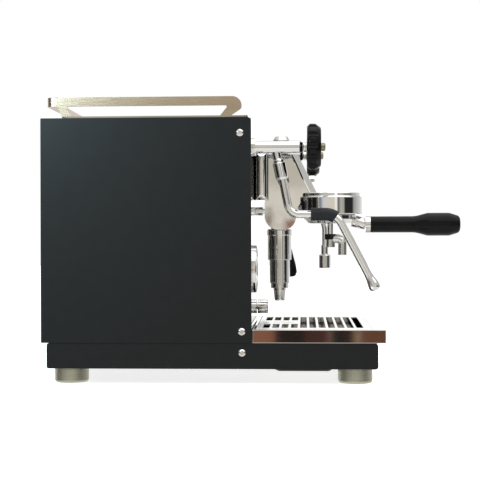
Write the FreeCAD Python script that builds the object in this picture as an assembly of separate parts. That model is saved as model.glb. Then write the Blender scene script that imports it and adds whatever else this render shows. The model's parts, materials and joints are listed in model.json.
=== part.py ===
import FreeCAD, Part
import math
import os

# An espresso machine with a lever group, in millimetres.
# X is the width, the front faces -Y, Z is up, and the feet stand at Z = 0.

Vector = FreeCAD.Vector

# ---- Driving dimensions -------------------------------------------------------------------

# Casing
HALF_WIDTH = 150.0
SHEET = 1.5
THIN_SHEET = 1.2
CASE_FRONT = 5.5
CASE_REAR = 296.4
CASE_BOTTOM = 57.3
CASE_TOP = 367.0
PANEL_GAP = 0.4
PANEL_CORNER = 6.0
FLANGE = 22.0

# Base and feet
BASE_HALF_WIDTH = 149.0
BASE_FRONT = -167.0
BASE_REAR = 288.8
BASE_BOTTOM = 22.0
BASE_TOP = 57.0
BASE_FRONT_CORNER = 4.0
BASE_REAR_CORNER = 3.0
BASE_LIP = 14.0
FOOT_RADIUS = 24.0
FOOT_STUD_RADIUS = 4.0
FOOT_X = 110.0
FOOT_FRONT_Y = -137.0
FOOT_REAR_Y = 261.0
FOOT_GROOVES = 5

# Panel screws, as (Y, Z) on each side
SIDE_SCREWS = [(21.0, 345.4), (19.0, 73.3), (18.7, 44.2)]
SIDE_SCREW_HEAD = 5.0
REAR_SCREW_HEAD = 4.0
SCREW_SHANK = 2.0
SCREW_HOLE = 2.3
SCREW_HEAD_HEIGHT = 2.2

# Cup tray and rail
CUP_TRAY_TOP = 369.6
CUP_TRAY_FRONT = 10.0
CUP_TRAY_REAR = 268.0
CUP_TRAY_HALF_WIDTH = 147.0
CUP_SLOT_PITCH = 24.0
RAIL_TOP = 396.0
RAIL_HEIGHT = 12.5
RAIL_THICKNESS = 3.0
RAIL_HALF_WIDTH = 146.0
RAIL_REAR = 289.0
RAIL_CORNER = 11.0

# Drip tray and grate
TRAY_FRONT = -177.5
TRAY_REAR = 4.6
TRAY_BOTTOM = 57.4
TRAY_TOP = 76.0
TRAY_LIP = 16.5
TRAY_RIM = 3.5
GRATE_THICKNESS = 1.5
GRATE_REAR = 0.0
GRATE_FRONT = -160.6
SLOT_COUNT = 11
SPLIT_SLOTS = 4
SLOT_WIDTH = 9.6
SLOT_PITCH = 13.12
SLOT_FIRST = -12.95
SLOT_HALF_LENGTH = 113.0
STRIP_HALF_WIDTH = 37.0

# Water and boiler
TANK_X = 118.0
TANK_Y = (188.0, 284.0)
TANK_Z = (131.0, 345.0)
TANK_WALL = 2.5
BOILER_CENTRE_Y = 104.0
BOILER_CENTRE_Z = 232.0
BOILER_RADIUS = 60.0
BOILER_LEFT = -100.0
BOILER_RIGHT = 78.0
BOILER_FLANGE_RADIUS = 72.0
BOILER_FLANGE_THICKNESS = 7.0
BOILER_BOLTS = 6
EXCHANGER_X = -35.0
EXCHANGER_RADIUS = 14.0
EXCHANGER_Z = 240.0

# Group
GROUP_Y = -105.3
SPOUT_Y = -123.3
SPOUT_TIP_Z = 176.0
ELBOW_Z = 200.0
BELL_RADIUS = 48.5
BELL_BOTTOM = 236.0
BELL_TOP = 267.4
CHAMBER_Y = -30.0
CHAMBER_BOTTOM = 127.0
UPPER_PIPE_Z = 300.0
LOWER_PIPE_Z = 241.0
PIPE_RADIUS = 6.5
FLANGE_SIDE_RADIUS = 9.0
BODY_HALF_WIDTH = 20.0
BODY_REAR = -9.5
BODY_FRONT = -53.0
BODY_BOTTOM = 214.5
BODY_TOP = 324.0
NECK_TOP = (-57.7, 324.0)
NECK_FOOT = (-85.5, 268.5)
FRONT_BOLT_Z = 289.0

# Brew lever
LEVER_PIVOT_Z = 190.0
LEVER_GRIP_TOP = (46.0, -43.0, 184.0)
LEVER_GRIP_BOTTOM = (46.0, -48.0, 142.0)

# Portafilter
BOWL_RADIUS = 35.0
BOWL_BOTTOM = 222.0
BOWL_TOP = 242.4
BOWL_RING_RADIUS = 39.5
HANDLE_Z = 221.0
HANDLE_START = -164.6
HANDLE_END = -296.4

# Taps and wands
TAP_X = 91.0
TAP_Z = 329.5
TAP_RADIUS = 9.0
TAP_FRONT = -65.3
TAP_STEM_RADIUS = 4.0
TAP_BORE_RADIUS = 4.06
KNOB_RADIUS = 33.0
KNOB_REAR = -70.8
KNOB_FRONT = -90.6
KNOB_FLUTES = 12
BALL_Y = -31.0
BALL_Z = 308.5
BALL_RADIUS = 7.5
NECK_SETBACK = 2.0
WAND_RADIUS = 5.6
WAND_BORE = 3.8
WAND_TILT = 0.21
STEAM_BEND = (-46.0, 234.7)
STEAM_CORNER = (-112.0, 234.7)
STEAM_END = (-168.0, 127.6)
STEAM_TIP_LENGTH = 25.0
WATER_WAND_Y = -98.4
WATER_TIP_BOTTOM = 154.0

# Front fittings
GAUGE_X = -91.0
GAUGE_Z = 157.7
GAUGE_RADIUS = 33.7
GAUGE_FRONT = -0.3
SWITCH_X = 60.0
SWITCH_Z = 96.0


# ---- Shape helpers ------------------------------------------------------------------------

def box(x, y, z):
    """A block between the (low, high) pairs on the three axes."""
    corner = Vector(x[0], y[0], z[0])
    return Part.makeBox(x[1] - x[0], y[1] - y[0], z[1] - z[0], corner)


def rod(start, axis, radius, length):
    return Part.makeCylinder(radius, length, Vector(*start), Vector(*axis))


def cone(start, axis, start_radius, end_radius, length):
    return Part.makeCone(start_radius, end_radius, length, Vector(*start), Vector(*axis))


def rounded_edges(points, radius, closed=False):
    """Straight runs joined by tangent arcs, with one radius for all corners or one for each."""
    count = len(points)
    radii = list(radius) if isinstance(radius, (list, tuple)) else [radius] * count
    stops = []
    for i, point in enumerate(points):
        at_end = not closed and i in (0, count - 1)
        if at_end or radii[i] == 0:
            stops.append((point, None, point))
            continue
        back = (points[i - 1] - point).normalize()
        ahead = (points[(i + 1) % count] - point).normalize()
        half_angle = back.getAngle(ahead) / 2
        trim = radii[i] / math.tan(half_angle)
        bisector = (back + ahead).normalize()
        centre = point + bisector * (radii[i] / math.sin(half_angle))
        stops.append((point + back * trim, centre - bisector * radii[i], point + ahead * trim))
    edges = []
    for i, (arrive, middle, leave) in enumerate(stops):
        if middle is not None:
            edges.append(Part.Arc(arrive, middle, leave).toShape())
        if closed or i < count - 1:
            target = stops[(i + 1) % count][0]
            if leave.distanceToPoint(target) > 1e-6:
                edges.append(Part.LineSegment(leave, target).toShape())
    return edges


def in_plane(axis, a, b, level):
    """The point (a, b) of the plane that crosses the named axis at the level."""
    return {"X": Vector(level, a, b), "Y": Vector(a, level, b), "Z": Vector(a, b, level)}[axis]


def prism(axis, outline, low, high, radius=0.0):
    """An outline with rounded corners, extruded along the named axis."""
    corners = [in_plane(axis, a, b, low) for a, b in outline]
    face = Part.Face(Part.Wire(rounded_edges(corners, radius, closed=True)))
    return face.extrude(in_plane(axis, 0.0, 0.0, high - low))


def rectangle(a, b):
    return [(a[0], b[0]), (a[1], b[0]), (a[1], b[1]), (a[0], b[1])]


def turned(profile, start=(0.0, 0.0, 0.0), axis=(0.0, 0.0, 1.0), radius=0.0):
    """A solid of revolution from (radius, height) pairs, standing on start along the axis."""
    corners = [Vector(r, 0.0, h) for r, h in profile]
    face = Part.Face(Part.Wire(rounded_edges(corners, radius, closed=True)))
    solid = face.revolve(Vector(0, 0, 0), Vector(0, 0, 1), 360)
    turn = FreeCAD.Rotation(Vector(0, 0, 1), Vector(*axis))
    solid.Placement = FreeCAD.Placement(Vector(*start), turn)
    return solid


def swept(edges, radius, bore=0.0):
    """A round rod or tube that follows the joined edges."""
    path = Part.Wire(edges)
    first = edges[0]
    start = first.valueAt(first.FirstParameter)
    direction = first.tangentAt(first.FirstParameter)

    def skin(skin_radius):
        ring = Part.Wire(Part.Circle(start, direction, skin_radius).toShape())
        return path.makePipeShell([ring], True, True)

    return skin(radius).cut(skin(bore)) if bore else skin(radius)


def bent_rod(points, bend, radius, bore=0.0):
    return swept(rounded_edges([Vector(*p) for p in points], bend), radius, bore)


def hexagon(start, axis, across_flats, length):
    """A hexagonal prism that stands on start along the axis."""
    corner_radius = across_flats / math.sqrt(3.0)
    angles = [math.radians(60.0 * i) for i in range(6)]
    outline = [(corner_radius * math.cos(a), corner_radius * math.sin(a)) for a in angles]
    solid = prism("Z", outline, 0.0, length)
    turn = FreeCAD.Rotation(Vector(0, 0, 1), Vector(*axis))
    solid.Placement = FreeCAD.Placement(Vector(*start), turn)
    return solid


def fused(shapes):
    whole = shapes[0]
    for shape in shapes[1:]:
        whole = whole.fuse(shape)
    return whole.removeSplitter()


def cut_all(shape, cutters):
    for cutter in cutters:
        shape = shape.cut(cutter)
    return shape


def mirrored(shape):
    return shape.mirror(Vector(0, 0, 0), Vector(1, 0, 0))


def both_sides(shape):
    return [shape, mirrored(shape)]


def around(shape, count, centre, axis):
    """Copies of the shape, evenly turned about the axis through the centre."""
    copies = []
    for i in range(count):
        copy = shape.copy()
        copy.rotate(Vector(*centre), Vector(*axis), 360.0 * i / count)
        copies.append(copy)
    return copies


# ---- Base, feet and casing ----------------------------------------------------------------

def foot_places():
    return [(x, y) for x in (-FOOT_X, FOOT_X) for y in (FOOT_FRONT_Y, FOOT_REAR_Y)]


def base_frame():
    """A folded tub with a closed deck under the drip tray and an open top under the casing."""
    corners = [BASE_FRONT_CORNER, BASE_REAR_CORNER, BASE_REAR_CORNER, BASE_FRONT_CORNER]
    outside = rectangle((BASE_FRONT, BASE_REAR), (BASE_BOTTOM, BASE_TOP))
    inside = rectangle(
        (BASE_FRONT + SHEET, BASE_REAR - SHEET), (BASE_BOTTOM + SHEET, BASE_TOP - SHEET))
    inner_half = BASE_HALF_WIDTH - SHEET
    shell = prism("X", outside, -BASE_HALF_WIDTH, BASE_HALF_WIDTH, corners)
    shell = shell.cut(prism("X", inside, -inner_half, inner_half, [c - SHEET for c in corners]))
    top_hole = box(
        (-BASE_HALF_WIDTH + BASE_LIP, BASE_HALF_WIDTH - BASE_LIP),
        (CASE_FRONT + BASE_LIP, BASE_REAR - BASE_LIP),
        (BASE_TOP - 2 * SHEET, BASE_TOP + 1.0))
    cutters = [top_hole]
    for x, y in foot_places():
        cutters.append(rod((x, y, BASE_BOTTOM - 1.0), (0, 0, 1), FOOT_STUD_RADIUS + 0.2, 4.0))
    base_screw = SIDE_SCREWS[-1]
    cutters.append(rod((-HALF_WIDTH, base_screw[0], base_screw[1]), (1, 0, 0), SCREW_HOLE, 2 * HALF_WIDTH))
    for row in range(6):
        y = 100.0 + 20.0 * row
        outline = rectangle((-45.0, 45.0), (y, y + 5.0))
        cutters.append(prism("Z", outline, BASE_BOTTOM - 1.0, BASE_BOTTOM + 4.0, 2.4))
    return cut_all(shell, cutters)


def foot(x, y):
    """A turned foot with fine grooves and a threaded stud."""
    groove = 0.5
    profile = [(0.0, 0.0), (FOOT_RADIUS - 2.0, 0.0), (FOOT_RADIUS - 0.6, 1.6)]
    pitch = (BASE_BOTTOM - 6.0) / FOOT_GROOVES
    for i in range(FOOT_GROOVES):
        z = 3.0 + pitch * i
        profile += [(FOOT_RADIUS, z), (FOOT_RADIUS, z + pitch - 1.0)]
        profile += [(FOOT_RADIUS - groove, z + pitch - 0.8), (FOOT_RADIUS - groove, z + pitch - 0.2)]
    top = BASE_BOTTOM - 0.05
    profile += [(FOOT_RADIUS, top - 2.6), (FOOT_RADIUS, top), (FOOT_STUD_RADIUS, top)]
    profile += [(FOOT_STUD_RADIUS, BASE_BOTTOM + 9.0), (0.0, BASE_BOTTOM + 9.0)]
    return turned(profile, (x, y, 0.0))


def feet():
    return [foot(x, y) for x, y in foot_places()]


def underside_covers():
    """A round pump cover and a shallow drain sump cover under the base."""
    top = BASE_BOTTOM - 0.05
    dome = [(0.0, 9.0), (14.0, 9.0), (26.0, top), (23.0, top), (12.5, 10.5), (0.0, 10.5)]
    pump_cover = turned(dome, (0.0, 47.5, 0.0), radius=[0, 6.0, 0, 0, 5.0, 0])
    outer = [(-12.0, top), (-30.0, 13.0), (-102.0, 13.0), (-113.0, top)]
    inner = [(-17.0, top), (-32.0, 14.5), (-100.5, 14.5), (-108.0, top)]
    sump = prism("X", outer, -60.0, 60.0, [0, 8.0, 8.0, 0])
    sump = sump.cut(prism("X", inner, -58.0, 58.0, [0, 7.0, 7.0, 0]))
    return [pump_cover, sump]


def left_side_panel():
    """The flat outer sheet with a narrow return behind the rear panel's edge."""
    outline = rectangle((CASE_FRONT + 0.2, CASE_REAR), (CASE_BOTTOM, CASE_TOP))
    sheet = prism("X", outline, -HALF_WIDTH, -HALF_WIDTH + SHEET, [0.8, 0.8, 1.5, PANEL_CORNER])
    rear_return = box(
        (-HALF_WIDTH + SHEET, -HALF_WIDTH + SHEET + 9.0), (CASE_REAR - SHEET, CASE_REAR),
        (CASE_BOTTOM + 4.0, CASE_TOP - 4.0))
    holes = []
    for y, z in SIDE_SCREWS[:-1]:
        holes.append(rod((-HALF_WIDTH - 1.0, y, z), (1, 0, 0), SCREW_HOLE, 4.0))
    return cut_all(fused([sheet, rear_return]), holes)


def right_side_panel():
    return mirrored(left_side_panel())


def front_panel():
    """The polished front sheet with side and top returns and a hole for each fitting."""
    half = HALF_WIDTH - SHEET - PANEL_GAP
    top = CASE_TOP - 1.3
    face = box((-half, half), (CASE_FRONT, CASE_FRONT + THIN_SHEET), (CASE_BOTTOM, top))
    side = box((-half, -half + THIN_SHEET), (CASE_FRONT, CASE_FRONT + FLANGE), (CASE_BOTTOM, top))
    roof = box((-half, half), (CASE_FRONT, CASE_FRONT + FLANGE), (top - THIN_SHEET, top))
    sheet = fused([face, roof] + both_sides(side))
    drill_from = CASE_FRONT - 2.0
    holes = [
        rod((-TAP_X, drill_from, TAP_Z), (0, 1, 0), TAP_RADIUS + 0.3, 6.0),
        rod((TAP_X, drill_from, TAP_Z), (0, 1, 0), TAP_RADIUS + 0.3, 6.0),
        rod((0.0, drill_from, UPPER_PIPE_Z), (0, 1, 0), PIPE_RADIUS + 1.5, 6.0),
        rod((0.0, drill_from, LOWER_PIPE_Z), (0, 1, 0), PIPE_RADIUS + 0.5, 6.0),
        rod((GAUGE_X, drill_from, GAUGE_Z), (0, 1, 0), GAUGE_RADIUS - 2.4, 6.0),
        rod((SWITCH_X, drill_from, SWITCH_Z), (0, 1, 0), 4.6, 6.0),
    ]
    for y, z in SIDE_SCREWS[:-1]:
        holes.append(rod((-HALF_WIDTH, y, z), (1, 0, 0), SCREW_HOLE, 2 * HALF_WIDTH))
    return cut_all(sheet, holes)


def inlet_place():
    return (92.0, 96.0)


def rear_screw_places():
    return [(x, z) for x in (-128.0, 0.0, 128.0) for z in (72.0, 352.0)]


def rear_panel():
    """The rear sheet with rows of vent slots and a top return behind the cup tray."""
    half = HALF_WIDTH - SHEET - PANEL_GAP
    rear = CASE_REAR - SHEET - 0.1
    top = CASE_TOP - 1.3
    face = box((-half, half), (rear - SHEET, rear), (CASE_BOTTOM, top))
    roof = box((-half, half), (CUP_TRAY_REAR + 1.5, rear), (top - SHEET, top))
    sheet = fused([face, roof])
    cutters = []
    for row in range(7):
        for column in range(3):
            x = -90.0 + 90.0 * column
            z = 190.0 + 14.0 * row
            outline = rectangle((x - 32.0, x + 32.0), (z, z + 4.5))
            cutters.append(prism("Y", outline, rear - 4.0, rear + 2.0, 2.2))
    for slot in range(9):
        x = -96.0 + 24.0 * slot
        outline = rectangle((x - 9.0, x + 9.0), (276.0, 280.5))
        cutters.append(prism("Z", outline, top - 4.0, top + 2.0, 2.2))
    inlet_x, inlet_z = inlet_place()
    cutters.append(box((inlet_x - 14.4, inlet_x + 14.4), (rear - 4.0, rear + 2.0), (inlet_z - 10.6, inlet_z + 10.6)))
    for x, z in rear_screw_places():
        cutters.append(rod((x, rear - 4.0, z), (0, 1, 0), SCREW_HOLE, 6.0))
    return cut_all(sheet, cutters)


def button_screw(start, axis, head_radius, head_height, shank_length):
    """A domed socket-head screw; start is under the head, and the axis points out of it."""
    dome = [(0.0, 0.0), (head_radius, 0.0), (head_radius, 0.5), (head_radius * 0.62, head_height), (0.0, head_height)]
    screw = turned(dome, start, axis, [0, 0, 0.4, 0.8, 0])
    outward = Vector(*axis)
    shank = rod(start, tuple(outward * -1), SCREW_SHANK, shank_length)
    recess = hexagon(tuple(Vector(*start) + outward * (head_height - 1.2)), axis, head_radius * 0.62, 2.0)
    return fused([screw, shank]).cut(recess)


def panel_screws():
    screws = []
    for y, z in SIDE_SCREWS:
        seat = HALF_WIDTH if z > BASE_TOP else BASE_HALF_WIDTH
        screw = button_screw((-seat - 0.02, y, z), (-1, 0, 0), SIDE_SCREW_HEAD, SCREW_HEAD_HEIGHT, 8.0)
        screws += both_sides(screw)
    rear = CASE_REAR - SHEET - 0.08
    for x, z in rear_screw_places():
        screws.append(button_screw((x, rear, z), (0, 1, 0), REAR_SCREW_HEAD, 1.5, 6.0))
    return screws


def inner_frame():
    """Four posts on the base's lip, two top rails, and the shelf that holds the tank."""
    post_x = (-146.0, -136.0)
    post_top = 362.0
    pieces = []
    for y in (32.0, 252.0):
        pieces += both_sides(box(post_x, (y, y + 10.0), (BASE_TOP + 0.05, post_top)))
    pieces += both_sides(box(post_x, (32.0, 262.0), (post_top - 10.0, post_top)))
    shelf_z = TANK_Z[0] - 2.0
    pieces.append(box((-146.0, 146.0), (TANK_Y[0] - 4.0, TANK_Y[1] + 4.0), (shelf_z, shelf_z + SHEET)))
    pieces.append(box((-146.0, 146.0), (TANK_Y[0] - 5.5, TANK_Y[0] - 4.0), (shelf_z, shelf_z + 16.0)))
    frame = fused(pieces)
    outlet = rod((0.0, 236.0, shelf_z - 2.0), (0, 0, 1), 12.0, 6.0)
    return frame.cut(outlet)


# ---- Cup tray and rail --------------------------------------------------------------------

def cup_tray():
    """The lift-off top plate with a skirt, and rows of warming slots."""
    plate_bottom = CUP_TRAY_TOP - SHEET
    half = CUP_TRAY_HALF_WIDTH
    plate = prism(
        "Z", rectangle((-half, half), (CUP_TRAY_FRONT, CUP_TRAY_REAR)), plate_bottom, CUP_TRAY_TOP, 5.0)
    outer = rectangle((-half + 3.0, half - 3.0), (CUP_TRAY_FRONT + 3.0, CUP_TRAY_REAR - 3.0))
    inner = rectangle((-half + 4.2, half - 4.2), (CUP_TRAY_FRONT + 4.2, CUP_TRAY_REAR - 4.2))
    skirt_bottom = 362.4
    skirt = prism("Z", outer, skirt_bottom, plate_bottom, 4.0)
    skirt = skirt.cut(prism("Z", inner, skirt_bottom - 1.0, plate_bottom, 3.0))
    relief = box((-half, half), (CASE_FRONT, CASE_FRONT + FLANGE + 0.5), (skirt_bottom - 1.0, CASE_TOP - 0.9))
    skirt = skirt.cut(relief)
    slots = []
    for row in range(9):
        for column in range(4):
            x = -90.0 + 60.0 * column
            y = 42.0 + CUP_SLOT_PITCH * row
            outline = rectangle((x - 20.0, x + 20.0), (y, y + 5.0))
            slots.append(prism("Z", outline, plate_bottom - 1.0, CUP_TRAY_TOP + 1.0, 2.4))
    return cut_all(fused([plate, skirt]), slots)


def rail_side():
    """One side bar, cut from flat sheet: a rounded nose, a raked front leg and a rear leg."""
    low = RAIL_TOP - RAIL_HEIGHT
    foot_z = CUP_TRAY_TOP + 0.05
    outline = [
        (RAIL_REAR - RAIL_CORNER, RAIL_TOP), (17.0, RAIL_TOP), (19.0, 379.0), (33.0, foot_z),
        (48.0, foot_z), (37.0, low), (261.0, low), (254.0, foot_z), (267.6, foot_z),
        (273.0, low), (RAIL_REAR - RAIL_CORNER, low)]
    rounding = [0, 13.0, 5.0, 0, 0, 2.0, 2.0, 0, 0, 0.5, 0]
    return prism("X", outline, -RAIL_HALF_WIDTH, -RAIL_HALF_WIDTH + RAIL_THICKNESS, rounding)


def rail_rear_band():
    """The rear band, bent round both rear corners to meet the side bars."""
    low = RAIL_TOP - RAIL_HEIGHT
    start = RAIL_REAR - RAIL_CORNER
    half = RAIL_HALF_WIDTH
    wall = RAIL_THICKNESS
    outline = [
        (-half, start), (-half, RAIL_REAR), (half, RAIL_REAR), (half, start),
        (half - wall, start), (half - wall, RAIL_REAR - wall), (-half + wall, RAIL_REAR - wall),
        (-half + wall, start)]
    inner_corner = RAIL_CORNER - wall
    rounding = [0, RAIL_CORNER - 0.01, RAIL_CORNER - 0.01, 0, 0, inner_corner, inner_corner, 0]
    return prism("Z", outline, low, RAIL_TOP, rounding)


def cup_rail():
    return fused(both_sides(rail_side()) + [rail_rear_band()])


# ---- Drip tray and grate ------------------------------------------------------------------

def drip_tray():
    """A shallow sheet tray with a broad front lip, narrow rims and ledges for the grate."""
    half = HALF_WIDTH
    wall = THIN_SHEET
    outer = box((-half, half), (TRAY_FRONT, TRAY_REAR), (TRAY_BOTTOM, TRAY_TOP))
    hollow = box((-half + wall, half - wall), (TRAY_FRONT + wall, TRAY_REAR - wall),
                 (TRAY_BOTTOM + wall, TRAY_TOP - wall))
    mouth = box((-half + TRAY_RIM, half - TRAY_RIM), (TRAY_FRONT + TRAY_LIP, TRAY_REAR - TRAY_RIM),
                (TRAY_TOP - 2 * wall, TRAY_TOP + 1.0))
    tray = outer.cut(hollow).cut(mouth)
    front_ledge = box((-half + wall, half - wall), (TRAY_FRONT + TRAY_LIP - 1.0, TRAY_FRONT + TRAY_LIP + 4.0),
                      (TRAY_TOP - 4.0, TRAY_TOP - 2.0))
    rear_ledge = box((-half + wall, half - wall), (TRAY_REAR - 8.0, TRAY_REAR - wall),
                     (TRAY_TOP - 4.0, TRAY_TOP - 2.0))
    return fused([tray, front_ledge, rear_ledge])


def grate_slot(x, y):
    outline = rectangle(x, (y - SLOT_WIDTH / 2, y + SLOT_WIDTH / 2))
    return prism("Z", outline, TRAY_TOP - 4.0, TRAY_TOP + 1.0, 3.0)


def drip_grate():
    """A flat plate with long slots; the rear slots are split by a strip with a drain slit."""
    half = HALF_WIDTH - TRAY_RIM - 0.4
    plate = box((-half, half), (GRATE_FRONT, GRATE_REAR), (TRAY_TOP - GRATE_THICKNESS, TRAY_TOP))
    cutters = []
    for i in range(SLOT_COUNT):
        y = SLOT_FIRST - SLOT_PITCH * i
        if i < SPLIT_SLOTS:
            cutters.append(grate_slot((-SLOT_HALF_LENGTH, -STRIP_HALF_WIDTH), y))
            cutters.append(grate_slot((STRIP_HALF_WIDTH, SLOT_HALF_LENGTH), y))
        else:
            cutters.append(grate_slot((-SLOT_HALF_LENGTH, SLOT_HALF_LENGTH), y))
    for span in ((-52.0, -20.0), (-15.0, -5.0)):
        cutters.append(prism("Z", rectangle((-3.0, 3.0), span), TRAY_TOP - 4.0, TRAY_TOP + 1.0, 2.5))
    return cut_all(plate, cutters)


# ---- Water, boiler and electrics ----------------------------------------------------------

def water_tank():
    outer = prism("Z", rectangle((-TANK_X, TANK_X), TANK_Y), TANK_Z[0], TANK_Z[1], 12.0)
    inside_y = (TANK_Y[0] + TANK_WALL, TANK_Y[1] - TANK_WALL)
    inside = rectangle((-TANK_X + TANK_WALL, TANK_X - TANK_WALL), inside_y)
    tank = outer.cut(prism("Z", inside, TANK_Z[0] + TANK_WALL, TANK_Z[1] + 1.0, 12.0 - TANK_WALL))
    return tank.cut(rod((0.0, 236.0, TANK_Z[0] - 1.0), (0, 0, 1), 8.0, 6.0))


def boiler_point(x, radius, angle):
    """A point on a circle about the boiler's axis; the angle starts at the top."""
    turn = math.radians(angle)
    return (x, BOILER_CENTRE_Y + radius * math.sin(turn), BOILER_CENTRE_Z + radius * math.cos(turn))


def boiler_shell():
    """A horizontal copper vessel with a domed left end and a flange ring on the right."""
    length = BOILER_RIGHT - BOILER_LEFT
    wall = 1.6
    radius = BOILER_RADIUS
    profile = [
        (0.0, 0.0), (radius, 0.0), (radius, length - 6.0), (BOILER_FLANGE_RADIUS, length - 6.0),
        (BOILER_FLANGE_RADIUS, length), (radius - wall, length), (radius - wall, wall), (0.0, wall)]
    rounding = [0, 18.0, 0, 0, 0, 0, 18.0 - wall, 0]
    shell = turned(profile, (BOILER_LEFT, BOILER_CENTRE_Y, BOILER_CENTRE_Z), (1, 0, 0), rounding)
    exchanger = rod((EXCHANGER_X, 20.0, EXCHANGER_Z), (0, 1, 0), EXCHANGER_RADIUS + 0.02, 170.0)
    top_holes = [rod((x, BOILER_CENTRE_Y, BOILER_CENTRE_Z), (0, 0, 1), 5.02, 80.0) for x in (-70.0, 0.0, 45.0)]
    water_hole = rod((60.0, BOILER_CENTRE_Y, BOILER_CENTRE_Z - 20.0), (0, -1, 0), 4.02, 80.0)
    return cut_all(shell, [exchanger, water_hole] + top_holes + boiler_bolt_holes())


def boiler_bolt_holes():
    hole = rod(boiler_point(BOILER_RIGHT - 12.0, 66.0, 0.0), (1, 0, 0), 3.2, 30.0)
    centre = (0.0, BOILER_CENTRE_Y, BOILER_CENTRE_Z)
    return around(hole, BOILER_BOLTS, centre, (1, 0, 0))


def element_legs():
    return (BOILER_CENTRE_Y - 22.0, BOILER_CENTRE_Y + 22.0)


def boiler_flange():
    start = (BOILER_RIGHT + 0.05, BOILER_CENTRE_Y, BOILER_CENTRE_Z)
    plate = rod(start, (1, 0, 0), BOILER_FLANGE_RADIUS, BOILER_FLANGE_THICKNESS)
    holes = boiler_bolt_holes()
    for y in element_legs():
        holes.append(rod((BOILER_RIGHT - 2.0, y, BOILER_CENTRE_Z - 24.0), (1, 0, 0), 4.04, 20.0))
    return cut_all(plate, holes)


def hex_bolts():
    """The boiler flange's bolts and nuts, and the group's front bolt."""
    head_x = BOILER_RIGHT + BOILER_FLANGE_THICKNESS + 0.1
    head = hexagon(boiler_point(head_x, 66.0, 0.0), (1, 0, 0), 10.0, 4.0)
    shank = rod(boiler_point(head_x, 66.0, 0.0), (-1, 0, 0), 3.0, 20.0)
    bolt = fused([head, shank])
    bolts = around(bolt, BOILER_BOLTS, (0.0, BOILER_CENTRE_Y, BOILER_CENTRE_Z), (1, 0, 0))
    front_head = hexagon((0.0, -74.6, FRONT_BOLT_Z), (0, -1, 0), 9.0, 7.6)
    bolts.append(front_head.fuse(rod((0.0, -72.0, FRONT_BOLT_Z), (0, -1, 0), 2.5, 3.0)))
    return bolts


def heating_element():
    """A hairpin rod whose two cold ends pass out through the flange."""
    front, rear = element_legs()
    end = BOILER_RIGHT + BOILER_FLANGE_THICKNESS + 14.0
    z = BOILER_CENTRE_Z - 24.0
    points = [(end, front, z), (-78.0, front, z), (-78.0, rear, z), (end, rear, z)]
    return bent_rod(points, 14.0, 4.0)


def heat_exchanger():
    """A capped tube straight through the boiler from front to rear."""
    length = 2 * BOILER_RADIUS + 8.0
    start = (EXCHANGER_X, BOILER_CENTRE_Y - length / 2, EXCHANGER_Z)
    profile = [
        (4.04, 0.0), (EXCHANGER_RADIUS, 0.0), (EXCHANGER_RADIUS, length), (4.04, length),
        (4.04, length - 3.0), (EXCHANGER_RADIUS - 1.5, length - 3.0), (EXCHANGER_RADIUS - 1.5, 3.0), (4.04, 3.0)]
    return turned(profile, start, (0, 1, 0))


def boiler_brackets():
    """Two cradle plates that stand on the base's floor."""
    vessel = rod((-90.0, BOILER_CENTRE_Y, BOILER_CENTRE_Z), (1, 0, 0), BOILER_RADIUS + 0.05, 180.0)
    floor = BASE_BOTTOM + SHEET + 0.05
    brackets = []
    for x in (-78.0, 52.0):
        depth = (BOILER_CENTRE_Y - 24.0, BOILER_CENTRE_Y + 24.0)
        plate = box((x, x + 2.5), depth, (floor, 200.0))
        toe = box((x, x + 18.0), depth, (floor, floor + 2.5))
        brackets.append(fused([plate, toe]).cut(vessel))
    return brackets


def boiler_valves():
    """The spring safety valve and the vacuum breaker, screwed into the boiler's top."""
    top = BOILER_CENTRE_Z + BOILER_RADIUS
    safety = [
        (0.0, -4.0), (5.0, -4.0), (5.0, 2.0), (10.0, 2.0), (10.0, 12.0), (7.0, 14.0), (7.0, 28.0),
        (8.5, 29.0), (8.5, 36.0), (2.0, 38.0), (2.0, 44.0), (0.0, 44.0)]
    breaker = [
        (0.0, -4.0), (5.0, -4.0), (5.0, 2.0), (9.0, 2.0), (9.0, 10.0), (6.5, 11.0), (6.5, 20.0),
        (2.0, 21.0), (2.0, 25.0), (0.0, 25.0)]
    return [
        turned(safety, (45.0, BOILER_CENTRE_Y, top)),
        turned(breaker, (-70.0, BOILER_CENTRE_Y, top))]


def thermosyphon_pipes():
    """The two pipes that circulate water between the heat exchanger and the group."""
    exchanger_front = BOILER_CENTRE_Y - BOILER_RADIUS - 4.0
    exchanger_rear = BOILER_CENTRE_Y + BOILER_RADIUS + 4.0
    upper = [
        (EXCHANGER_X, exchanger_front + 4.0, EXCHANGER_Z), (EXCHANGER_X, 24.0, EXCHANGER_Z),
        (0.0, 24.0, UPPER_PIPE_Z), (0.0, -4.0, UPPER_PIPE_Z)]
    lower = [
        (EXCHANGER_X, exchanger_rear - 4.0, EXCHANGER_Z), (EXCHANGER_X, 177.0, EXCHANGER_Z),
        (EXCHANGER_X, 177.0, 155.0), (0.0, 30.0, 155.0), (0.0, 30.0, LOWER_PIPE_Z),
        (0.0, -11.0, LOWER_PIPE_Z)]
    outside = rod((0.0, CASE_FRONT - 0.3, LOWER_PIPE_Z), (0, -1, 0), PIPE_RADIUS, 11.0)
    return [bent_rod(upper, 8.0, 4.0), fused([bent_rod(lower, 8.0, 4.0), outside])]


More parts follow.
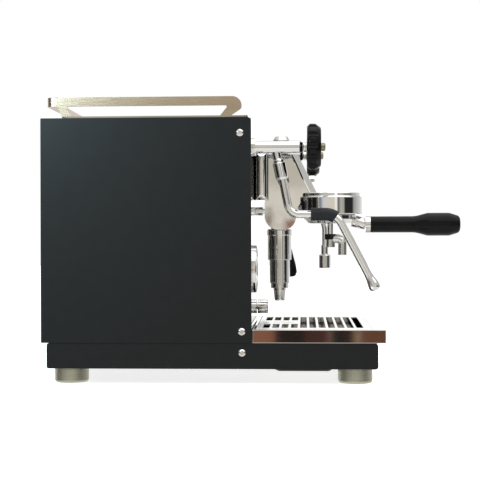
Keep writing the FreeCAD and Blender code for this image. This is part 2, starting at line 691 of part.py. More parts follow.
def service_pipes():
    """Steam and hot water to the taps, and the suction pipe from the tank to the pump."""
    top = BOILER_CENTRE_Z + BOILER_RADIUS
    steam = [
        (0.0, BOILER_CENTRE_Y, top - 4.0), (0.0, BOILER_CENTRE_Y, 345.0), (-TAP_X, BOILER_CENTRE_Y, 345.0),
        (-TAP_X, 60.0, TAP_Z), (-TAP_X, 21.0, TAP_Z)]
    water = [
        (60.0, BOILER_CENTRE_Y - 54.0, BOILER_CENTRE_Z - 20.0), (60.0, 28.0, BOILER_CENTRE_Z - 20.0),
        (TAP_X + 25.0, 28.0, BOILER_CENTRE_Z - 10.0), (TAP_X + 25.0, 50.0, TAP_Z),
        (TAP_X, 50.0, TAP_Z), (TAP_X, 21.0, TAP_Z)]
    suction = [
        (0.0, 236.0, TANK_Z[0] + 6.0), (0.0, 236.0, 112.0), (-85.0, 262.0, 112.0), (-85.0, 262.0, 88.0),
        (-85.0, 240.0, 88.0)]
    return [bent_rod(points, 8.0, 4.0) for points in (steam, water, suction)]


def pump():
    """A vibration pump: a coil in a square steel bracket, with a plastic inlet and brass outlet."""
    centre = (-85.0, 88.0)
    coil = box((-104.0, -66.0), (176.0, 218.0), (70.0, 106.0))
    bars = box((-100.0, -70.0), (172.0, 222.0), (78.0, 98.0))
    inlet = rod((centre[0], 222.0, centre[1]), (0, 1, 0), 11.0, 22.0)
    outlet = rod((centre[0], 172.0, centre[1]), (0, -1, 0), 8.0, 20.0)
    body = fused([coil, bars, inlet, outlet])
    return body.cut(rod((centre[0], 238.0, centre[1]), (0, 1, 0), 4.3, 12.0))


def pump_mounts():
    floor = BASE_BOTTOM + SHEET + 0.05
    profile = [(0.0, 0.0), (9.0, 0.0), (6.5, 14.0), (6.5, 32.0), (9.0, 46.3), (0.0, 46.3)]
    return [turned(profile, (x, 197.0, floor)) for x in (-95.0, -75.0)]


def expansion_valve():
    """A brass relief valve on the pump's outlet."""
    base = (-85.0, 138.0, 88.0)
    block = box((base[0] - 9.0, base[0] + 9.0), (base[1] - 9.0, base[1] + 13.5), (base[2] - 9.0, base[2] + 9.0))
    bonnet = [(0.0, 0.0), (8.0, 0.0), (8.0, 14.0), (5.5, 16.0), (5.5, 24.0), (0.0, 24.0)]
    return fused([block, turned(bonnet, (base[0], base[1], base[2] + 9.0))])


def fill_solenoid():
    """The valve that tops up the boiler: a brass block under a round coil."""
    block = box((-18.0, 18.0), (196.0, 224.0), (24.0, 44.0))
    coil = rod((0.0, 210.0, 44.0), (0, 0, 1), 15.0, 32.0)
    nut = hexagon((0.0, 210.0, 76.0), (0, 0, 1), 12.0, 5.0)
    return fused([block, coil, nut])


def control_box():
    """A moulded cover over the fill and pump control board, open underneath."""
    outer = prism("Z", rectangle((40.0, 132.0), (186.0, 252.0)), 24.0, 74.0, 5.0)
    return outer.cut(prism("Z", rectangle((42.5, 129.5), (188.5, 249.5)), 23.0, 71.5, 3.0))


def pressurestat():
    """The pressure switch that cycles the element."""
    case = box((100.0, 134.0), (70.0, 120.0), (308.0, 340.0))
    capsule = rod((117.0, 95.0, 308.0), (0, 0, -1), 17.0, 10.0)
    stem = rod((117.0, 95.0, 298.0), (0, 0, -1), 4.0, 10.0)
    return fused([case, capsule, stem])


def mains_inlet():
    """A three-pin appliance inlet, its flange screwed to the rear panel."""
    x, z = inlet_place()
    rear = CASE_REAR - SHEET - 0.05
    flange = prism("Y", rectangle((x - 25.0, x + 25.0), (z - 11.5, z + 11.5)), rear, CASE_REAR, 3.0)
    body = box((x - 14.0, x + 14.0), (rear - 24.0, rear), (z - 10.2, z + 10.2))
    socket = prism(
        "Y", rectangle((x - 12.2, x + 12.2), (z - 8.3, z + 8.3)), rear - 17.0, CASE_REAR + 1.0, [1.0, 1.0, 4.5, 4.5])
    shell = fused([flange, body]).cut(socket)
    pins = []
    for pin_x, pin_z in ((x - 7.0, z - 2.0), (x, z + 2.0), (x + 7.0, z - 2.0)):
        pins.append(box((pin_x - 1.0, pin_x + 1.0), (rear - 18.0, rear - 3.0), (pin_z - 2.0, pin_z + 2.0)))
    return fused([shell] + pins)


# ---- Group --------------------------------------------------------------------------------

def group_flange():
    """The block that bolts the group to the front panel."""
    block = prism("Y", rectangle((-34.0, 34.0), (256.5, 328.0)), -14.5, CASE_FRONT - 0.05, 9.0)
    lip = prism("Y", rectangle((-30.0, 30.0), (320.0, 330.4)), -14.5, -4.0, 3.0)
    pipe_hole = rod((0.0, -5.0, UPPER_PIPE_Z), (0, 1, 0), 4.05, 12.0)
    sides = prism("Z", rectangle((-34.0, 34.0), (-14.5, CASE_FRONT - 0.05)), 250.0, 335.0, FLANGE_SIDE_RADIUS)
    return fused([block, lip]).common(sides).cut(pipe_hole)


def group_body():
    """The flat-sided body with a round underside and a raked neck over the bell."""
    seat_y = -14.55
    outline = [
        (BODY_REAR, BODY_TOP), (BODY_REAR, BODY_BOTTOM), (BODY_FRONT, BODY_BOTTOM), (BODY_FRONT, 241.0),
        (-70.0, 267.6), (-96.0, 267.6), (-96.0, NECK_FOOT[1]), NECK_FOOT, NECK_TOP]
    rounding = [1.0, 19.0, 17.0, 8.0, 0, 0, 0, 2.0, 2.0]
    body = prism("X", outline, -BODY_HALF_WIDTH, BODY_HALF_WIDTH, rounding)
    flange_seat = box((-40.0, 40.0), (seat_y, CASE_FRONT), (256.4, 331.0))
    bolt_hole = rod((0.0, -60.0, FRONT_BOLT_Z), (0, -1, 0), 2.55, 30.0)
    bolt_seat = rod((0.0, -74.55, FRONT_BOLT_Z), (0, -1, 0), 6.0, 10.0)
    pipe_hole = rod((0.0, -18.0, LOWER_PIPE_Z), (0, 1, 0), PIPE_RADIUS + 0.05, 14.0)
    chamber_hole = rod((0.0, CHAMBER_Y, 200.0), (0, 0, 1), 13.05, 24.0)
    return cut_all(body, [flange_seat, bolt_hole, bolt_seat, pipe_hole, chamber_hole])


def group_bell():
    """The brew head, open underneath, with the groove that the portafilter's lugs turn in."""
    outside = [(0.0, BELL_TOP + 2.0), (22.0, BELL_TOP + 1.6), (45.0, BELL_TOP), (45.5, 262.4), (BELL_RADIUS, 261.0)]
    inside = [
        (BELL_RADIUS, BELL_BOTTOM), (36.4, BELL_BOTTOM), (36.4, 238.4), (39.2, 238.4), (39.2, 243.5),
        (36.6, 243.5), (36.6, 252.0), (20.0, 252.0), (20.0, 256.0), (0.0, 256.0)]
    rounding = [0, 0, 1.5, 0.8, 1.5, 1.0] + [0] * 9
    bell = turned(outside + inside, (0.0, GROUP_Y, 0.0), radius=rounding)
    return bell.cut(group_body())


def mushroom_cap():
    """The domed cap over the group's valve."""
    profile = [
        (0.0, 0.05), (10.0, 0.05), (10.0, 6.0), (8.5, 7.0), (8.5, 12.0), (12.5, 15.0), (12.5, 22.0),
        (9.5, 28.0), (0.0, 28.7)]
    return turned(profile, (0.0, CHAMBER_Y - 3.0, 324.0), radius=[0, 0, 0.5, 0.4, 0.6, 1.2, 2.0, 3.0, 0])


def group_gasket():
    profile = [(29.2, 243.6), (36.5, 243.6), (36.5, 251.9), (29.2, 251.9)]
    return turned(profile, (0.0, GROUP_Y, 0.0))


def shower_screen():
    """A shallow perforated cup under the water outlet."""
    profile = [(0.0, 245.0), (28.0, 245.0), (28.9, 246.0), (28.9, 251.9), (27.9, 251.9), (27.9, 246.0), (0.0, 246.0)]
    screen = turned(profile, (0.0, GROUP_Y, 0.0))
    holes = []
    for ring_index, radius in enumerate((8.0, 15.0, 22.0)):
        hole = rod((radius, GROUP_Y, 244.0), (0, 0, 1), 1.2, 3.0)
        holes += around(hole, 6 * (ring_index + 1), (0.0, GROUP_Y, 0.0), (0, 0, 1))
    return cut_all(screen, holes)


def valve_chamber():
    """The stepped lower chamber that holds the lever's cam and the drain valve."""
    profile = [
        (0.0, 127.0), (13.7, 127.0), (13.7, 134.5), (15.2, 134.5), (15.2, 168.5), (17.5, 168.5),
        (17.5, 204.5), (18.6, 206.0), (18.6, 212.5), (17.0, 214.4), (13.0, 214.4), (13.0, 222.0),
        (0.0, 222.0)]
    rounding = [0, 0.8, 0, 1.0, 0, 1.2, 0, 0.5, 0.8, 0.4, 0, 0.6, 0]
    chamber = turned(profile, (0.0, CHAMBER_Y, 0.0), radius=rounding)
    boss = rod((16.0, CHAMBER_Y, LEVER_PIVOT_Z), (1, 0, 0), 9.0, 9.0)
    bore = rod((-4.0, CHAMBER_Y, LEVER_PIVOT_Z), (1, 0, 0), 5.05, 40.0)
    nozzle_socket = rod((0.0, CHAMBER_Y, 126.0), (0, 0, 1), 6.05, 8.0)
    return cut_all(fused([chamber, boss]), [bore, nozzle_socket])


def drain_nozzle():
    """The tapered outlet below the chamber."""
    profile = [
        (3.5, 108.0), (6.6, 108.0), (7.8, 110.0), (9.5, 124.5), (9.5, 126.9), (6.0, 126.9), (6.0, 133.5), (3.5, 133.5)]
    return turned(profile, (0.0, CHAMBER_Y, 0.0), radius=[0, 0.8, 1.0, 0.8, 0, 0, 0, 0])


def brew_lever():
    """The cam shaft, its nut and the bent arm that the grip screws onto."""
    shaft = rod((-2.0, CHAMBER_Y, LEVER_PIVOT_Z), (1, 0, 0), 5.0, 32.0)
    hub = rod((25.4, CHAMBER_Y, LEVER_PIVOT_Z), (1, 0, 0), 9.5, 9.0)
    grip_axis = (Vector(*LEVER_GRIP_BOTTOM) - Vector(*LEVER_GRIP_TOP)).normalize()
    above_grip = tuple(Vector(*LEVER_GRIP_TOP) - grip_axis * 4.0)
    inside_grip = tuple(Vector(*LEVER_GRIP_TOP) + grip_axis * 21.0)
    elbow = (LEVER_GRIP_TOP[0], -38.0, 193.0)
    arm = bent_rod([(30.0, CHAMBER_Y, LEVER_PIVOT_Z), elbow, above_grip, inside_grip], 5.0, 3.2)
    return fused([shaft, hub, arm])


def lever_grip():
    """A pear-shaped grip along the lever's lower arm."""
    top = Vector(*LEVER_GRIP_TOP)
    axis = Vector(*LEVER_GRIP_BOTTOM) - top
    profile = [(3.26, 0.0), (4.6, 0.0), (5.6, 8.0), (8.4, 28.0), (8.4, 36.0), (5.0, 42.0), (0.0, 42.3), (0.0, 22.0), (3.26, 22.0)]
    return turned(profile, tuple(top), tuple(axis), [0, 0.8, 6.0, 10.0, 3.0, 3.0, 0, 0, 0])


# ---- Portafilter --------------------------------------------------------------------------

def portafilter_body():
    """The bowl with its ring, two locking lugs, and the arm that the handle screws onto."""
    profile = [
        (4.6, BOWL_BOTTOM), (33.0, BOWL_BOTTOM), (38.0, 228.0), (BOWL_RING_RADIUS, 228.0),
        (BOWL_RING_RADIUS, 235.6), (BOWL_RADIUS, 235.6), (BOWL_RADIUS, BOWL_TOP), (30.6, BOWL_TOP),
        (30.6, 224.0), (4.6, 224.0)]
    bowl = turned(profile, (0.0, GROUP_Y, 0.0), radius=[0, 4.0, 0, 1.2, 1.2, 0, 0, 0, 1.0, 0])
    lug = turned(
        [(34.0, 238.9), (38.6, 238.9), (38.6, BOWL_TOP), (34.0, BOWL_TOP)], (0.0, GROUP_Y, 0.0))
    wedge = box((0.0, 45.0), (GROUP_Y - 13.0, GROUP_Y + 13.0), (230.0, 250.0))
    lugs = both_sides(lug.common(wedge))
    arm_start = Vector(0.0, -138.0, 227.0)
    arm_end = Vector(0.0, -158.0, HANDLE_Z)
    arm = cone(tuple(arm_start), tuple(arm_end - arm_start), 9.5, 8.0, (arm_end - arm_start).Length)
    ring = rod((0.0, -157.0, HANDLE_Z), (0, -1, 0), 12.4, 7.5)
    stud = rod((0.0, -164.0, HANDLE_Z), (0, -1, 0), 5.0, 30.0)
    inner = rod((0.0, GROUP_Y, 224.0), (0, 0, 1), 30.6, 30.0)
    return fused([bowl, arm.cut(inner), ring, stud] + lugs)


def filter_basket():
    """A thin drilled cup whose rim rests on the bowl."""
    profile = [
        (0.0, 224.6), (27.5, 224.6), (30.0, 227.0), (30.0, 242.5), (34.4, 242.5), (34.4, 243.2),
        (29.3, 243.2), (29.3, 227.3), (27.2, 225.3), (0.0, 225.3)]
    return turned(profile, (0.0, GROUP_Y, 0.0))


def portafilter_spout():
    """A threaded neck, a hexagon and a single gooseneck spout."""
    neck = rod((0.0, GROUP_Y, 206.0), (0, 0, 1), 4.55, 18.0)
    nut = hexagon((0.0, GROUP_Y, 198.8), (0, 0, 1), 16.0, 8.2)
    barrel = rod((0.0, GROUP_Y, 187.5), (0, 0, 1), 7.3, 11.5)
    gooseneck = bent_rod([(0.0, GROUP_Y, ELBOW_Z), (0.0, SPOUT_Y, ELBOW_Z), (0.0, SPOUT_Y, SPOUT_TIP_Z)], 8.0, 6.8)
    bore = bent_rod([(0.0, GROUP_Y, ELBOW_Z), (0.0, SPOUT_Y, ELBOW_Z), (0.0, SPOUT_Y, SPOUT_TIP_Z - 1.0)], 8.0, 4.8)
    drain = rod((0.0, GROUP_Y, 190.0), (0, 0, 1), 3.2, 40.0)
    return cut_all(fused([neck, nut, barrel, gooseneck]), [bore, drain])


def portafilter_handle():
    """A straight grip that flares towards its rounded end."""
    length = HANDLE_START - HANDLE_END
    profile = [
        (5.04, 0.05), (12.0, 0.05), (12.15, 66.0), (17.0, 84.0), (17.0, 116.0), (12.0, length), (0.0, length),
        (0.0, 31.0), (5.04, 31.0)]
    rounding = [0, 1.0, 40.0, 12.0, 14.0, 6.0, 0, 0, 0]
    return turned(profile, (0.0, HANDLE_START, HANDLE_Z), (0, -1, 0), rounding)


# ---- Taps, wands and front fittings -------------------------------------------------------

def left_valve_body():
    """A tap body through the front panel, with a raked neck down to the wand's ball and a rear nut."""
    profile = [
        (TAP_BORE_RADIUS, 0.0), (6.0, 0.0), (8.2, 3.0), (TAP_RADIUS, 5.0), (TAP_RADIUS, 71.5), (TAP_RADIUS, 86.0),
        (TAP_BORE_RADIUS, 86.0)]
    barrel = turned(profile, (-TAP_X, TAP_FRONT, TAP_Z), (0, 1, 0), [0, 0.6, 0, 0, 0, 0, 0])
    collar = rod((-TAP_X, CASE_FRONT - 0.05, TAP_Z), (0, -1, 0), 13.0, 4.0)
    nut = hexagon((-TAP_X, CASE_FRONT + THIN_SHEET + 0.05, TAP_Z), (0, 1, 0), 24.0, 7.0)
    neck = rod((-TAP_X, BALL_Y + NECK_SETBACK, BALL_Z + 4.5), tuple(wand_axis() * -1.0), 6.0, 15.0)
    ball_seat = Part.makeSphere(BALL_RADIUS + 0.06, Vector(-TAP_X, BALL_Y, BALL_Z))
    stem_bore = rod((-TAP_X, TAP_FRONT - 1.0, TAP_Z), (0, 1, 0), TAP_BORE_RADIUS, 30.0)
    return cut_all(fused([barrel, collar, nut, neck]), [ball_seat, stem_bore])


def right_valve_body():
    return mirrored(left_valve_body())


def tap_knob(x):
    """A fluted hand wheel with its cap, washer and stem in one turning piece."""
    depth = KNOB_REAR - KNOB_FRONT
    profile = [
        (0.0, 0.0), (KNOB_RADIUS - 4.0, 0.0), (KNOB_RADIUS, 4.0), (KNOB_RADIUS, 12.0),
        (KNOB_RADIUS - 6.0, depth), (12.0, depth), (12.0, depth - 2.0), (0.0, depth - 2.0)]
    wheel = turned(profile, (x, KNOB_REAR, TAP_Z), (0, -1, 0), [0, 2.0, 2.0, 4.0, 2.0, 0.6, 0.6, 0])
    flute = rod((x, KNOB_REAR + 1.0, TAP_Z + KNOB_RADIUS + 2.2), (0, -1, 0), 5.4, depth + 2.0)
    wheel = cut_all(wheel, around(flute, KNOB_FLUTES, (x, 0.0, TAP_Z), (0, 1, 0)))
    cap = turned([(0.0, 0.0), (5.6, 0.0), (5.6, 6.0), (4.0, 8.2), (0.0, 8.2)], (x, -88.6, TAP_Z), (0, -1, 0),
                 [0, 0, 1.0, 1.0, 0])
    washer = rod((x, TAP_FRONT - 0.4, TAP_Z), (0, -1, 0), 6.2, TAP_FRONT - KNOB_REAR)
    stem = rod((x, TAP_FRONT + 18.0, TAP_Z), (0, -1, 0), TAP_STEM_RADIUS, 20.0)
    return fused([wheel, cap, washer, stem])


def steam_knob():
    return tap_knob(-TAP_X)


def water_knob():
    return tap_knob(TAP_X)


def wand_ball(x):
    return Part.makeSphere(BALL_RADIUS, Vector(x, BALL_Y, BALL_Z))


def steam_wand_ball():
    return wand_ball(-TAP_X)


def water_wand_ball():
    return wand_ball(TAP_X)


def wand_axis():
    return Vector(0.0, -WAND_TILT, -1.0).normalize()


def wand_start(x):
    return Vector(x, BALL_Y, BALL_Z) + wand_axis() * 20.0


def wand(x, edges, radius, bore):
    """A tube under its collar nut, which is hollowed to clear the ball."""
    ball = Vector(x, BALL_Y, BALL_Z)
    profile = [(0.0, 1.0), (8.4, 1.0), (9.1, 2.0), (9.1, 22.0), (7.6, 25.5), (0.0, 25.5)]
    collar = turned(profile, tuple(ball), tuple(wand_axis()), [0, 0, 0.5, 1.5, 0.8, 0])
    socket = Part.makeSphere(BALL_RADIUS + 0.06, ball)
    return cut_all(swept(edges, radius).fuse(collar), [swept(edges, bore), socket])


def steam_wand_edges():
    """The wand's centre line: down from the ball, level forward, then down to the tip."""
    tail = Vector(-TAP_X, *STEAM_END) - steam_direction() * (STEAM_TIP_LENGTH - 5.0)
    points = [wand_start(-TAP_X), Vector(-TAP_X, *STEAM_BEND), Vector(-TAP_X, *STEAM_CORNER), tail]
    return rounded_edges(points, [0, 17.0, 26.0, 0])


def steam_direction():
    return (Vector(-TAP_X, *STEAM_END) - Vector(-TAP_X, *STEAM_CORNER)).normalize()


def steam_wand():
    return wand(-TAP_X, steam_wand_edges(), WAND_RADIUS, WAND_BORE)


def steam_grip():
    """A rubber sleeve over the level run and the first half of the bend after it."""
    level_run, bend = steam_wand_edges()[2:4]
    run_start = Vector(-TAP_X, -76.0, STEAM_CORNER[1])
    run_end = level_run.valueAt(level_run.LastParameter)
    first, last = bend.FirstParameter, bend.LastParameter
    half_bend = Part.Arc(
        bend.valueAt(first), bend.valueAt(first + 0.28 * (last - first)),
        bend.valueAt(first + 0.56 * (last - first))).toShape()
    return swept([Part.LineSegment(run_start, run_end).toShape(), half_bend], 9.0, WAND_RADIUS + 0.05)


def steam_tip():
    """The rounded nozzle on the wand's end."""
    direction = steam_direction()
    start = Vector(-TAP_X, *STEAM_END) - direction * STEAM_TIP_LENGTH
    bore = WAND_RADIUS + 0.05
    profile = [
        (bore, 0.0), (6.6, 0.0), (7.4, 3.0), (7.4, 15.0), (5.0, STEAM_TIP_LENGTH), (1.2, STEAM_TIP_LENGTH),
        (1.2, 14.0), (3.8, 10.0), (3.8, 5.1), (bore, 5.1)]
    return turned(profile, tuple(start), tuple(direction), [0, 0.4, 2.0, 5.0, 3.0, 0, 0, 0, 0, 0])


def water_wand():
    points = [
        wand_start(TAP_X), Vector(TAP_X, -45.5, 240.0), Vector(TAP_X, WATER_WAND_Y, 238.0),
        Vector(TAP_X, WATER_WAND_Y, 181.0)]
    return wand(TAP_X, rounded_edges(points, [0, 17.0, 26.0, 0]), 4.2, 3.0)


def water_tip():
    """The stepped nozzle of the hot water wand."""
    length = 36.0
    profile = [
        (4.25, 0.0), (5.8, 0.0), (5.8, 14.0), (9.6, 16.0), (9.6, length), (8.2, length), (8.2, 18.0),
        (3.0, 18.0), (3.0, 9.1), (4.25, 9.1)]
    start = (TAP_X, WATER_WAND_Y, WATER_TIP_BOTTOM + length)
    return turned(profile, start, (0, 0, -1), [0, 0.5, 0.5, 1.0, 1.2, 0, 0, 0, 0, 0])


def gauge_turned(profile, radius=0.0):
    """A turned gauge piece; heights run back from the bezel's front."""
    return turned(profile, (GAUGE_X, GAUGE_FRONT, GAUGE_Z), (0, 1, 0), radius)


def gauge_case():
    barrel = GAUGE_RADIUS - 2.8
    bezel_depth = CASE_FRONT - GAUGE_FRONT - 0.05
    profile = [
        (29.6, 0.0), (GAUGE_RADIUS - 1.0, 0.0), (GAUGE_RADIUS, 1.5), (GAUGE_RADIUS, bezel_depth), (barrel, bezel_depth),
        (barrel, 36.0), (0.0, 36.0), (0.0, 34.5), (barrel - 1.5, 34.5), (barrel - 1.5, 1.4), (29.6, 1.4)]
    return gauge_turned(profile, [0, 0.8, 1.2, 0, 0, 1.0, 0, 0, 0, 0, 0])


def gauge_dial():
    return gauge_turned([(1.05, 6.0), (29.3, 6.0), (29.3, 7.0), (1.05, 7.0)])


def gauge_glass():
    return gauge_turned([(0.0, 1.5), (29.3, 1.5), (29.3, 2.9), (0.0, 2.9)])


def gauge_needle():
    """A slim pointer with a hub and a short tail, at rest to the lower left."""
    hub = gauge_turned([(0.0, 3.6), (3.0, 3.6), (3.0, 5.6), (1.0, 5.6), (1.0, 7.6), (0.0, 7.6)])
    front = GAUGE_FRONT + 4.3
    outline = [(GAUGE_X - 0.35, GAUGE_Z + 23.0), (GAUGE_X + 0.35, GAUGE_Z + 23.0),
               (GAUGE_X + 1.5, GAUGE_Z - 7.0), (GAUGE_X - 1.5, GAUGE_Z - 7.0)]
    pointer = prism("Y", outline, front, front + 0.6)
    pointer.rotate(Vector(GAUGE_X, 0.0, GAUGE_Z), Vector(0, -1, 0), 120.0)
    return fused([hub, pointer])


def power_knob():
    """A round switch knob with a grip bar and its shaft."""
    profile = [(0.0, 0.0), (10.0, 0.0), (11.0, 3.0), (11.0, 16.4), (0.0, 16.4)]
    knob = turned(profile, (SWITCH_X, -11.5, SWITCH_Z), (0, 1, 0), [0, 1.5, 1.0, 0.6, 0])
    shaft = rod((SWITCH_X, 4.0, SWITCH_Z), (0, 1, 0), 4.2, 26.0)
    return fused([knob, shaft])


# ---- Export -------------------------------------------------------------------------------

BUILDERS = [
    base_frame, feet, underside_covers, left_side_panel, right_side_panel, front_panel, rear_panel,
    panel_screws, inner_frame, cup_tray, cup_rail, drip_tray, drip_grate, water_tank, boiler_shell,
    boiler_flange, hex_bolts, heating_element, heat_exchanger, boiler_brackets, boiler_valves,
    thermosyphon_pipes, service_pipes, pump, pump_mounts, expansion_valve, fill_solenoid,
    control_box, pressurestat, mains_inlet, group_flange, group_body, group_bell, mushroom_cap,
    group_gasket, shower_screen, valve_chamber, drain_nozzle, brew_lever, lever_grip,
    portafilter_body, filter_basket, portafilter_spout, portafilter_handle, left_valve_body,
    right_valve_body, steam_knob, water_knob, steam_wand_ball, water_wand_ball, steam_wand,
    steam_grip, steam_tip, water_wand, water_tip, gauge_case, gauge_dial, gauge_glass,
    gauge_needle, power_knob]


def export_all():
    os.makedirs("parts", exist_ok=True)
    for builder in BUILDERS:
        shape = builder()
        if isinstance(shape, list):
            shape = Part.makeCompound(shape)
        shape.exportStep("parts/" + builder.__name__ + ".step")


export_all()
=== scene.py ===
import json
import math

import bmesh
import bpy
from mathutils import Matrix, Vector


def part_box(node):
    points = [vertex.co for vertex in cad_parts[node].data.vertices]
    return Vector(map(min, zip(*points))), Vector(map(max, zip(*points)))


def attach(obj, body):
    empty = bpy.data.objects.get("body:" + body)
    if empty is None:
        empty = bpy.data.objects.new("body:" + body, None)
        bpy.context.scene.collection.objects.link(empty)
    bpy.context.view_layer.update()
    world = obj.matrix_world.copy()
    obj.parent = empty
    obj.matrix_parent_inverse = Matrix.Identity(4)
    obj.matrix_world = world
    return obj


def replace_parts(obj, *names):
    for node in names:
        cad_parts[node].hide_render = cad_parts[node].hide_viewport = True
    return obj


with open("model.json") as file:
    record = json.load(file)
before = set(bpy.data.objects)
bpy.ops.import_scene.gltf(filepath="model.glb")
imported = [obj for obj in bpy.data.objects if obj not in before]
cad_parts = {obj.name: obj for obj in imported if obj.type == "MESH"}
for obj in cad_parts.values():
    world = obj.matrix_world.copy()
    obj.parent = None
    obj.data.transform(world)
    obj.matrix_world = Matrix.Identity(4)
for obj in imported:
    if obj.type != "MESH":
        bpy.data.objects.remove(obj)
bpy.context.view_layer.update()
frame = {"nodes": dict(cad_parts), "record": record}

RECORD = frame["record"]
NODE_SLOT = {part["node"]: part["material_slot"] for part in RECORD["subparts"]}

# Camera: level with the middle of the machine, far off on its left side.
CAMERA_AT = Vector((-1.785, -0.0664, 0.2015))
CAMERA_YAW = math.radians(3.06)
CAMERA_PITCH = math.radians(0.10)
CAMERA_ROLL = -0.0025
CAMERA_LENS = 89.85
SENSOR = 36.0

FLOOR_SIZE = 14.0
MM = 0.001

# Group body: the corners of its side outline as (y, z), and how its edges are rounded.
BODY_FRONT = -53.0 * MM
UNDER_NECK = (-70.0 * MM, 267.6 * MM)
STEP_Z = 241.0 * MM
TONGUE_TOP_Z = 271.0 * MM
NECK_FOOT = (-85.5 * MM, 268.5 * MM)
NECK_TOP_Y = -57.7 * MM
BELL_SEAT_Y = -96.0 * MM
BODY_CORNERS = (19.0 * MM, 17.0 * MM, 8.0 * MM)
NECK_ROUNDING = 11.0 * MM
NECK_STEPS = 12
EDGE_ROUNDING = 1.0 * MM
EDGE_STEPS = 4

# Steam nozzle: the wand's last run as (y, z) points, and (radius, distance along) in millimetres.
STEAM_CORNER = (-112.0 * MM, 234.7 * MM)
STEAM_END = (-168.0 * MM, 127.6 * MM)
NOZZLE_LENGTH = 25.0 * MM
NOZZLE_PROFILE = [
    (0.0, 5.2), (5.65, 5.2), (5.65, 0.0), (5.95, 0.1), (6.05, 3.0), (6.3, 6.0), (7.1, 10.0), (8.0, 14.5),
    (8.45, 18.0), (8.3, 20.5), (7.5, 22.8), (5.8, 24.3), (3.4, 24.95), (1.2, 25.0), (1.2, 22.0), (0.0, 22.0)]

# Tap trim, as (radius, distance along) in millimetres.
CAP_LENGTH = 7.0 * MM
CAP_PROFILE = [(0.0, 7.0), (4.2, 7.0), (5.6, 5.8), (5.75, 5.2), (5.75, 1.4), (6.6, 0.9), (6.6, 0.0)]
GLAND_OVERLAP = 0.5 * MM
GLAND_PROFILE = [(6.25, 0.0), (7.0, 0.4), (7.0, 2.0), (6.5, 2.4), (7.0, 2.9), (7.0, 4.3), (6.25, 4.7)]

# Folded sheet of the drip tray.
TRAY_ROUNDING = 1.1 * MM
SAME_PLANE = 0.05 * MM

# Covers under the base. A section of the sump's pan is (x in millimetres, its size there).
PUMP_Y = 47.5 * MM
SUMP_REAR = -12.0 * MM
SUMP_BOTTOM = 13.0 * MM
SUMP_REAR_SLOPE = 18.0 * MM
SUMP_FRONT_SLOPE = 11.0 * MM
SUMP_CORNER = 8.0 * MM
SUMP_SECTIONS = [(-97.0, 0.80), (-95.0, 0.93), (-91.0, 1.0), (91.0, 1.0), (95.0, 0.93), (97.0, 0.80)]

# Gauge scale: ticks in degrees from the top, with every fifth one longer and wider.
TICKS = 31
FIRST_TICK = -120.0
TICK_STEP = 8.0
TICK_RISE = 0.08 * MM


class Graph:
    """Short calls for building a node tree."""

    def __init__(self, tree):
        self.tree = tree
        tree.nodes.clear()

    def add(self, kind, **values):
        node = self.tree.nodes.new(kind)
        for key, value in values.items():
            setattr(node, key, value)
        return node

    def link(self, source, target):
        self.tree.links.new(source, target)

    def math(self, operation, first, second=None):
        node = self.add("ShaderNodeMath", operation=operation)
        for socket, value in zip(node.inputs, (first, second)):
            if value is None:
                continue
            if isinstance(value, (int, float)):
                socket.default_value = value
            else:
                self.link(value, socket)
        return node.outputs[0]

    def remap(self, value, source, target, smooth=False):
        node = self.add("ShaderNodeMapRange")
        node.interpolation_type = "SMOOTHSTEP" if smooth else "LINEAR"
        self.link(value, node.inputs["Value"])
        node.inputs["From Min"].default_value, node.inputs["From Max"].default_value = source
        node.inputs["To Min"].default_value, node.inputs["To Max"].default_value = target
        return node.outputs["Result"]

    def noise(self, scale, stretch=(1, 1, 1), detail=4.0):
        """Noise in the machine's own metres, stretched along an axis for brushed or turned metal."""
        place = self.add("ShaderNodeTexCoord")
        mapping = self.add("ShaderNodeMapping")
        mapping.inputs["Scale"].default_value = stretch
        texture = self.add("ShaderNodeTexNoise")
        texture.inputs["Scale"].default_value = scale
        texture.inputs["Detail"].default_value = detail
        self.link(place.outputs["Object"], mapping.inputs["Vector"])
        self.link(mapping.outputs["Vector"], texture.inputs["Vector"])
        return texture.outputs["Fac"]

    def ramp(self, value, stops):
        node = self.add("ShaderNodeValToRGB")
        elements = node.color_ramp.elements
        while len(elements) > 1:
            elements.remove(elements[-1])
        elements[0].position = stops[0][0]
        elements[0].color = (*stops[0][1], 1.0)
        for position, colour in stops[1:]:
            elements.new(position).color = (*colour, 1.0)
        self.link(value, node.inputs["Fac"])
        return node.outputs["Color"]

    def mix(self, factor, first, second):
        node = self.add("ShaderNodeMix", data_type="RGBA")
        self.link(factor, node.inputs["Factor"])
        self.link(first, node.inputs[6])
        self.link(second, node.inputs[7])
        return node.outputs[2]


def shade(colour, factor):
    return tuple(min(1.0, channel * factor) for channel in colour)


